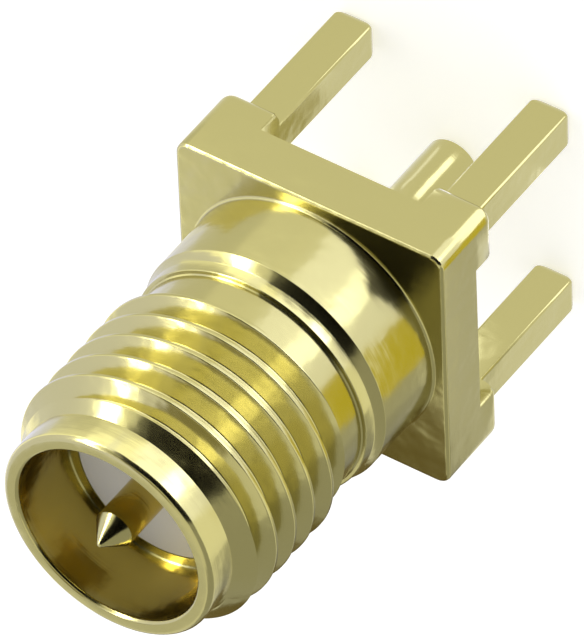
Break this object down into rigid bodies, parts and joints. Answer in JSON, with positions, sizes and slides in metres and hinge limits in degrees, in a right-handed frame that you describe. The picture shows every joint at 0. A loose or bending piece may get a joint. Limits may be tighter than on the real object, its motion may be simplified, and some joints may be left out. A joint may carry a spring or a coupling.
{
  "type": "coaxial board jack",
  "caption": "Board-mount coaxial jack: square gold-plated flange on solder legs, externally threaded barrel, PTFE insulator and a centre pin with a solder tail",
  "frame": {"origin": "on the jack's axis, in the plane of the four corner pads that sit on the board", "axes": "+Z along the jack's axis, out of its mouth; +X and +Y square to the sides of the flange"},
  "size_m": [0.0068, 0.0068, 0.0138],
  "materials": {
    "gold_plated_body": "turned and milled brass with a thin bright gold plating",
    "ptfe": "machined natural PTFE, waxy white",
    "gold_plated_contact": "turned contact with a bright gold plating"
  },
  "bodies": {
    "root": {"body": "gold_plated_body", "insulator": "ptfe", "centre_contact": "gold_plated_contact"}
  },
  "joints": []
}
